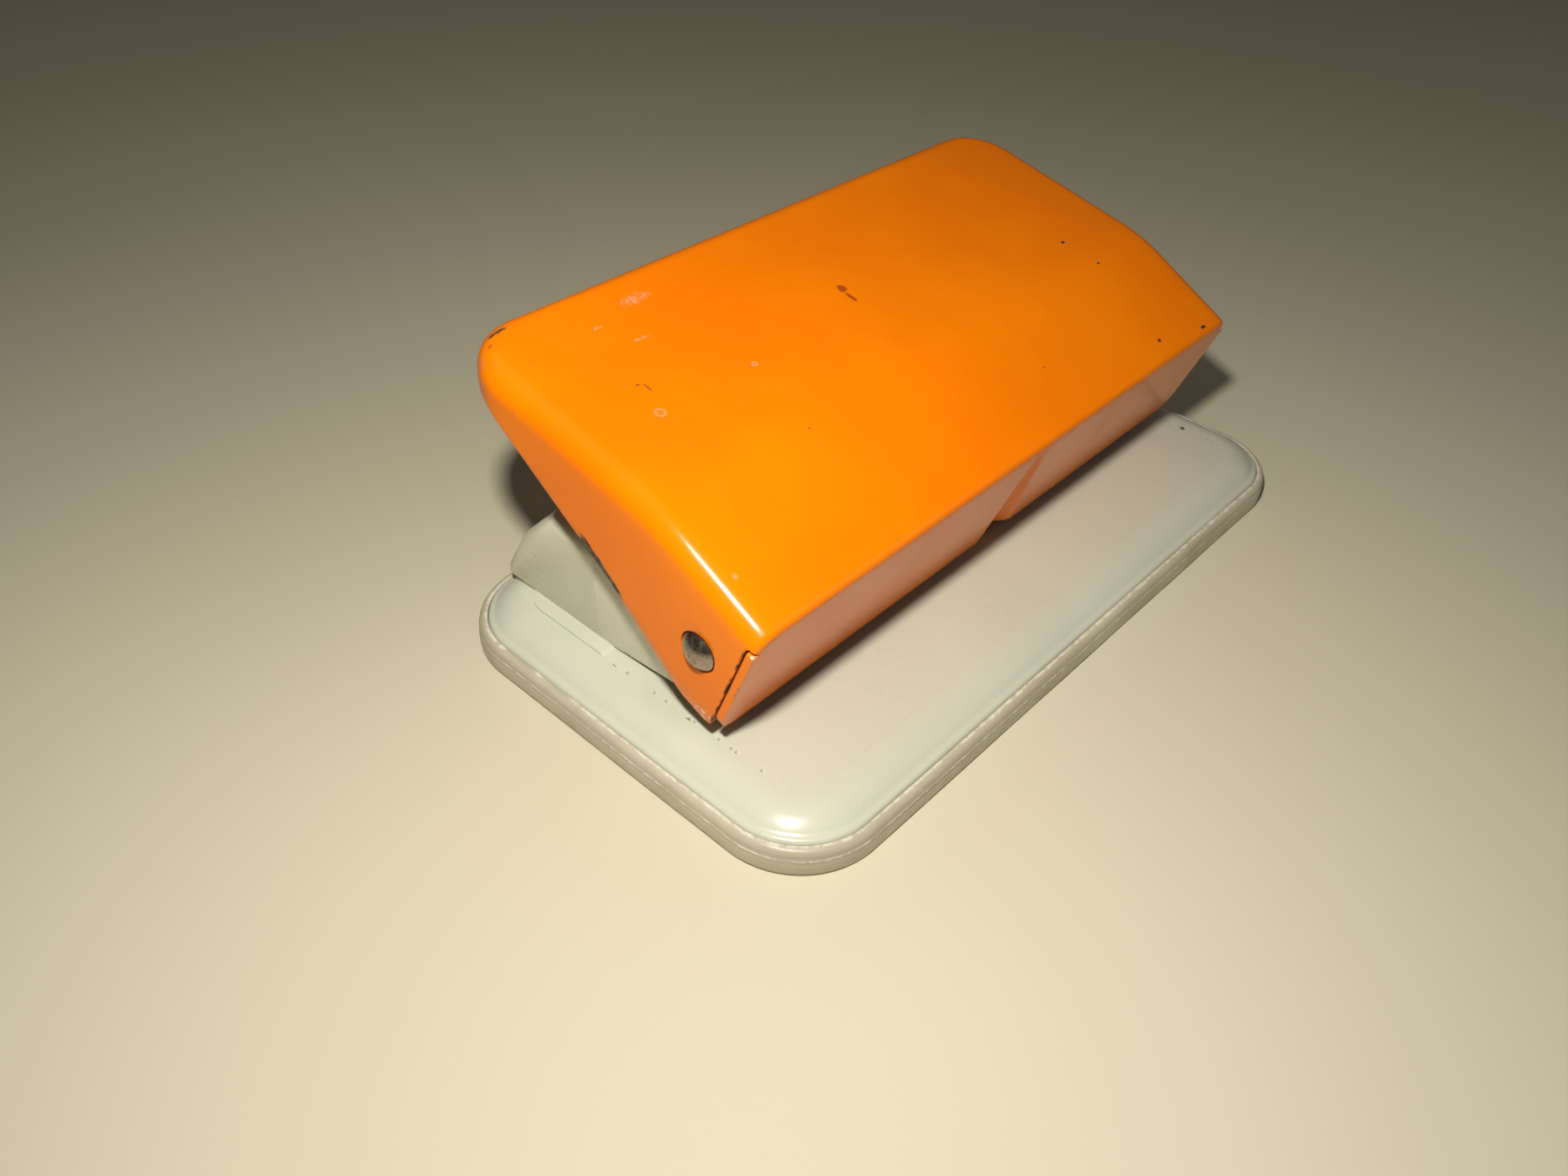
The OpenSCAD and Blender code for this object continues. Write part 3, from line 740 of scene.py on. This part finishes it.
# ---------------------------------------------------------------- rounded-rectangle lofts
def rounded_outline(w, d, r, arc=14, side=24):
    """Points (x, y) and outward normals round a rounded rectangle, starting mid-front."""
    pts = []
    hw, hd = w / 2 - r, d / 2 - r
    corners = [(hw, -hd, -90), (hw, hd, 0), (-hw, hd, 90), (-hw, -hd, 180)]
    for i, (cx, cy, a0) in enumerate(corners):
        for k in range(arc + 1):
            a = math.radians(a0 + 90 * k / arc)
            pts.append((cx + r * math.cos(a), cy + r * math.sin(a), math.cos(a), math.sin(a)))
        nx_c = corners[(i + 1) % 4]
        a = math.radians(a0 + 90)
        p = (cx + r * math.cos(a), cy + r * math.sin(a))
        q = (nx_c[0] + r * math.cos(a), nx_c[1] + r * math.sin(a))
        for k in range(1, side):
            t = k / side
            pts.append((lerp(p[0], q[0], t), lerp(p[1], q[1], t), math.cos(a), math.sin(a)))
    return pts


def loft(outline, profile, wobble=None):
    """profile is (inset, z) pairs; returns rings of points as verts and faces."""
    verts, faces = [], []
    n = len(outline)
    for j, (inset, z) in enumerate(profile):
        for i, (x, y, nx, ny) in enumerate(outline):
            dx, dz = wobble(i, j, z) if wobble else (0.0, 0.0)
            verts.append((x - nx * (inset + dx), y - ny * (inset + dx), z + dz))
    for j in range(len(profile) - 1):
        k = j + 1
        for i in range(n):
            i2 = (i + 1) % n
            faces.append((j * n + i, j * n + i2, k * n + i2, k * n + i))
    return verts, faces


def resample(profile, k):
    """Catmull-Rom curve through profile's points, k steps for each span."""
    p = [profile[0]] + list(profile) + [profile[-1]]
    out = []
    for i in range(1, len(p) - 2):
        a, b, c, d = (np.array(q, float) for q in p[i - 1:i + 3])
        for j in range(k):
            t = j / k
            out.append(tuple(0.5 * (2 * b + (c - a) * t + (2 * a - 5 * b + 4 * c - d) * t * t
                                    + (3 * b - a - 3 * c + d) * t ** 3)))
    out.append(tuple(profile[-1]))
    return out


def build_tray(mat):
    rng = np.random.default_rng(5)
    outline = rounded_outline(TRAY_W, TRAY_D, TRAY_R, arc=26, side=60)
    n = len(outline)
    t = np.arange(n) / n * 2 * np.pi
    slow = sum(rng.normal(0, 1 / k) * np.sin(k * t + rng.uniform(0, 6.28)) for k in range(3, 30))
    slow = slow / np.abs(slow).max()
    quick = rng.normal(0, 1, n)
    around = np.concatenate([quick[-2:], quick, quick[:2]])
    quick = np.convolve(around, [0.2, 0.25, 0.3, 0.25, 0.2], "same")[2:-2]
    quick = quick / np.abs(quick).max()
    nicks = np.zeros(n)
    for _ in range(9):
        c = rng.integers(0, n)
        w = rng.integers(2, 5)
        for k in range(-w, w + 1):
            nicks[(c + k) % n] = max(nicks[(c + k) % n], 1 - abs(k) / (w + 1))
    # (inset, z, share of the wobble)
    profile = [
        (6.0, 0.0, 0), (1.0, 0.0, 0), (0.45, 0.08, 0.2), (0.12, 0.32, 0.5), (0.03, 0.8, 0.8),
        (0.0, 1.5, 1.0), (0.0, 2.15, 1.0), (0.10, 2.42, 1.0), (0.02, 2.62, 1.6), (0.16, 2.78, 1.2),
        (0.20, 3.0, 0.8), (0.22, 3.25, 0.6), (0.32, 3.55, 0.5), (0.52, 3.82, 0.5), (0.78, 3.99, 0.6),
        (1.02, 4.06, 0.8), (1.22, 4.08, 1.0), (1.38, 3.98, 1.0), (1.43, 3.75, 0.3), (1.22, 3.4, 0),
        (1.2, 1.3, 0), (1.5, 1.0, 0), (2.2, 1.0, 0), (30.5, 1.0, 0)]
    wob = [p[2] for p in profile]

    def wobble(i, j, z):
        s = wob[j]
        dx = max(0.0, 0.05 * s * (1 + slow[i])) + 0.035 * s * max(0.0, quick[i])
        dz = 0.0
        if 0.5 < s:
            dz = 0.04 * s * (slow[i] - 0.6) - (0.30 * nicks[i] if z > 3.7 else 0.0)
        return dx, dz

    verts, faces = loft(outline, [(p[0], p[1]) for p in profile], wobble)
    base = len(verts)
    # inner floor and outer underside are closed with fans
    verts.append((0, 0, 0.0))
    verts.append((0, 0, 1.0))
    last = (len(profile) - 1) * n
    for i in range(n):
        i2 = (i + 1) % n
        faces.append((base, i2, i))
        faces.append((base + 1, last + i, last + i2))
    ob = make("tray_shell", verts, faces, mat)
    shade(ob, 60)
    return ob


def build_base(mat):
    """Pressed plate: cushioned edge, flared lip, raised paper stop, punched holes."""
    outline = rounded_outline(BASE_W, BASE_D, BASE_R, arc=28, side=60)
    n = len(outline)
    # outside from the lip up to the table
    skirt = [(0.0, 3.3), (0.02, 3.7), (0.12, 4.05), (0.35, 4.30), (0.7, 4.44)]
    cushion = [(0.95 + 5.25 * t, 4.54 + 1.66 * (1 - (1 - t) ** 2.8)) for t in np.linspace(0, 1, 26)]
    outer = [(0.0, 1.28), (0.0, 1.9)] + resample(skirt, 4) + cushion
    verts, faces = loft(outline, outer)

    # table: grid rows inside the last ring, with the stop's step
    def table_height(x, y):
        side = 1 - smooth01((abs(x) - (PAD_HALF - 2.6)) / 2.6)
        front = smooth01((y - (STOP_Y - 0.25)) / 0.5)
        back = 1 - smooth01((y - (PAD_BACK - 1.0)) / 1.0)
        cx = abs(x) - (PAD_HALF - 4.5)
        cy = y - (PAD_BACK - 4.5)
        if cx > 0 and cy > 0:
            side = back = math.sqrt(max(0.0, 1 - smooth01((math.hypot(cx, cy) - 3.5) / 1.0)))
        return TABLE_Z + (PAD_Z - TABLE_Z) * front * min(side, back)

    inset = outer[-1][0]
    hw, hd, r = BASE_W / 2 - inset, BASE_D / 2 - inset, BASE_R - inset
    ys = sorted(set([round(float(v), 3) for v in np.arange(-hd, hd + 0.01, 1.0)]
                    + [round(float(v), 3) for v in np.arange(STOP_Y - 0.3, STOP_Y + 0.31, 0.1)]
                    + [round(hd, 3), round(-hd, 3)]))
    ring = [(x - nx * inset, y - ny * inset) for x, y, nx, ny in outline]
    # the outline's own corner heights join the grid so that no gap opens
    ys = sorted(set(ys + [round(p[1], 3) for p in ring]))
    clean = [ys[0]]
    for y in ys[1:]:
        if y - clean[-1] > 0.02:
            clean.append(y)
    ys = clean
    cols = 116
    base = len(verts)
    for y in ys:
        over = abs(y) - (hd - r)
        half = hw if over <= 0 else hw - r + math.sqrt(max(0.0, r * r - over * over))
        half = max(half, hw - r)
        for k in range(cols + 1):
            x = lerp(-half, half, k / cols)
            verts.append((x, y, table_height(x, y)))
    faces.extend(grid_faces(len(ys), cols + 1, base))
    ob = make("base_shell", verts, faces, mat, merge=0.03)
    bm = bmesh.new()
    bm.from_mesh(ob.data)
    top = min(bm.faces, key=lambda f: f.calc_center_median().xy.length)
    if top.normal.z < 0:
        bmesh.ops.reverse_faces(bm, faces=bm.faces)
    bm.to_mesh(ob.data)
    bm.free()
    modifier(ob, "SOLIDIFY", thickness=BASE_SHEET * MM, offset=-1.0, use_even_offset=False)
    apply_modifiers(ob)
    holes = []
    for s in (-1, 1):
        holes.append(cutter_cylinder("hole", (s * PUNCH_X, PUNCH_Y, 6), (0, 0, 1), PUNCH_HOLE_R, 6))
        for dx in (-DIE_RIVET_OFFSET, DIE_RIVET_OFFSET):
            holes.append(cutter_cylinder("hole", (s * PUNCH_X + dx, PUNCH_Y, 6), (0, 0, 1),
                                         DIE_RIVET_HOLE_R, 6, 32))
    drill(ob, holes)
    modifier(ob, "BEVEL", width=0.1 * MM, segments=2, limit_method="ANGLE", angle_limit=math.radians(55))
    apply_modifiers(ob)
    shade(ob, 40)
    return ob


# ---------------------------------------------------------------- softened copies of CAD nodes
def soft_copy(node, name, mat, width=0.15, segments=2, angle=35, shade_angle=32):
    """Detailed piece made from a CAD node's mesh: edges rounded, shading split at sharp edges."""
    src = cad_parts[node]
    me = src.data.copy()
    me.name = name
    me.transform(src.matrix_world)
    ob = bpy.data.objects.new(name, me)
    bpy.context.scene.collection.objects.link(ob)
    me.materials.clear()
    me.materials.append(mat)
    bm = bmesh.new()
    bm.from_mesh(me)
    bmesh.ops.remove_doubles(bm, verts=bm.verts, dist=2e-6)
    bmesh.ops.dissolve_limit(bm, angle_limit=math.radians(0.5), verts=bm.verts, edges=bm.edges)
    bmesh.ops.recalc_face_normals(bm, faces=bm.faces)
    bm.to_mesh(me)
    bm.free()
    if width:
        modifier(ob, "BEVEL", width=width * MM, segments=segments, limit_method="ANGLE",
                 angle_limit=math.radians(angle), use_clamp_overlap=True)
        apply_modifiers(ob)
    for a in list(ob.data.attributes):
        if a.name == "custom_normal":
            ob.data.attributes.remove(a)
    shade(ob, shade_angle)
    return ob


# ---------------------------------------------------------------- assemble
mat_lever = lever_material()
mat_base = base_material()
mat_bracket = bracket_material()
mat_tray = tray_material()
mat_rod = steel_material("rod_steel_worn", (0.42, 0.345, 0.29), 0.27, (0.25, 1, 1), 0.3, 0.18)
mat_inner = steel_material("zinc_sheet", (0.55, 0.56, 0.57), 0.36, (0.4, 1, 1), 0.3)
mat_punch = steel_material("ground_steel", (0.60, 0.60, 0.60), 0.2, (1, 1, 0.3), 0.15)
mat_spring = steel_material("spring_wire", (0.38, 0.38, 0.39), 0.3, (1, 1, 1), 0.35)
mat_rivet = steel_material("rivet_head", (0.50, 0.49, 0.48), 0.33, (1, 1, 1), 0.3)

lever = build_lever(mat_lever)
finish_lever(lever)
tray = build_tray(mat_tray)
base = build_base(mat_base)
bracket = soft_copy("bracket", "bracket_shell", mat_bracket, 0.18, 2)

for piece, body, node, slot in (
    (lever, "handle", "lever", "lever_paint"),
    (tray, "tray", "chip_tray", "tray_plastic"),
    (base, "base", "base_plate", "base_paint"),
    (bracket, "base", "bracket", "bracket_paint"),
):
    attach(piece, body)
    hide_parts(node)

# the return springs get their own mesh copies of the CAD coils, attached to the base
for side, sign in (("left", -1), ("right", 1)):
    coil = soft_copy("spring_" + side, "coil_" + side, mat_spring, 0, shade_angle=60)
    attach(coil, "base")
    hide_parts("spring_" + side)
    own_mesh(coil)

for node, mat in {
    "pivot_rod": mat_rod, "axle_clips": mat_inner, "spacer_left": mat_inner, "spacer_right": mat_inner,
    "guide_channel": mat_inner, "punch_left": mat_punch, "punch_right": mat_punch,
    "punch_cap_left": mat_punch, "punch_cap_right": mat_punch, "die_left": mat_inner, "die_right": mat_inner,
    "bracket_rivets": mat_rivet, "guide_rivets": mat_rivet, "die_rivets": mat_rivet,
}.items():
    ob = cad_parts[node]
    ob.data.materials.clear()
    ob.data.materials.append(mat)

# ---------------------------------------------------------------- floor, light, camera
bpy.ops.mesh.primitive_grid_add(x_subdivisions=8, y_subdivisions=8, size=FLOOR_SIZE)
floor = bpy.context.object
floor.name = "floor"
floor.data.materials.append(floor_material())


def area_light(name, place, target, size, power, colour=(1, 1, 1)):
    data = bpy.data.lights.new(name, "AREA")
    data.shape = "DISK"
    data.size = size
    data.energy = power
    data.color = colour
    ob = bpy.data.objects.new(name, data)
    ob.location = place
    direction = Vector(target) - Vector(place)
    ob.rotation_euler = direction.to_track_quat("-Z", "Y").to_euler()
    bpy.context.scene.collection.objects.link(ob)
    return ob


area_light("key", (-0.108, -0.053, 0.155), AIM, 0.014, 0.36, (1.0, 0.95, 0.86))
area_light("fill", (0.35, -0.45, 0.45), AIM, 0.40, 0.19, (1.0, 0.96, 0.90))
area_light("top", (-0.1, 0.25, 0.6), (0, 0, 0.0), 0.5, 0.11, (1.0, 0.97, 0.92))

world = bpy.data.worlds.new("studio")
world.use_nodes = True
bg = world.node_tree.nodes["Background"]
bg.inputs["Color"].default_value = (0.95, 0.86, 0.72, 1.0)
bg.inputs["Strength"].default_value = 0.045
bpy.context.scene.world = world
bpy.context.scene.view_settings.view_transform = "Standard"

cam_data = bpy.data.cameras.new("camera")
cam_data.lens = LENS
cam_data.sensor_width = SENSOR
cam_data.clip_start = 0.001
camera = bpy.data.objects.new("camera", cam_data)
turn = Matrix((CAMERA_RIGHT, CAMERA_UP, CAMERA_BACK)).transposed()
camera.matrix_world = Matrix.Translation(CAMERA_AT) @ turn.to_4x4()
bpy.context.scene.collection.objects.link(camera)
bpy.context.scene.camera = camera
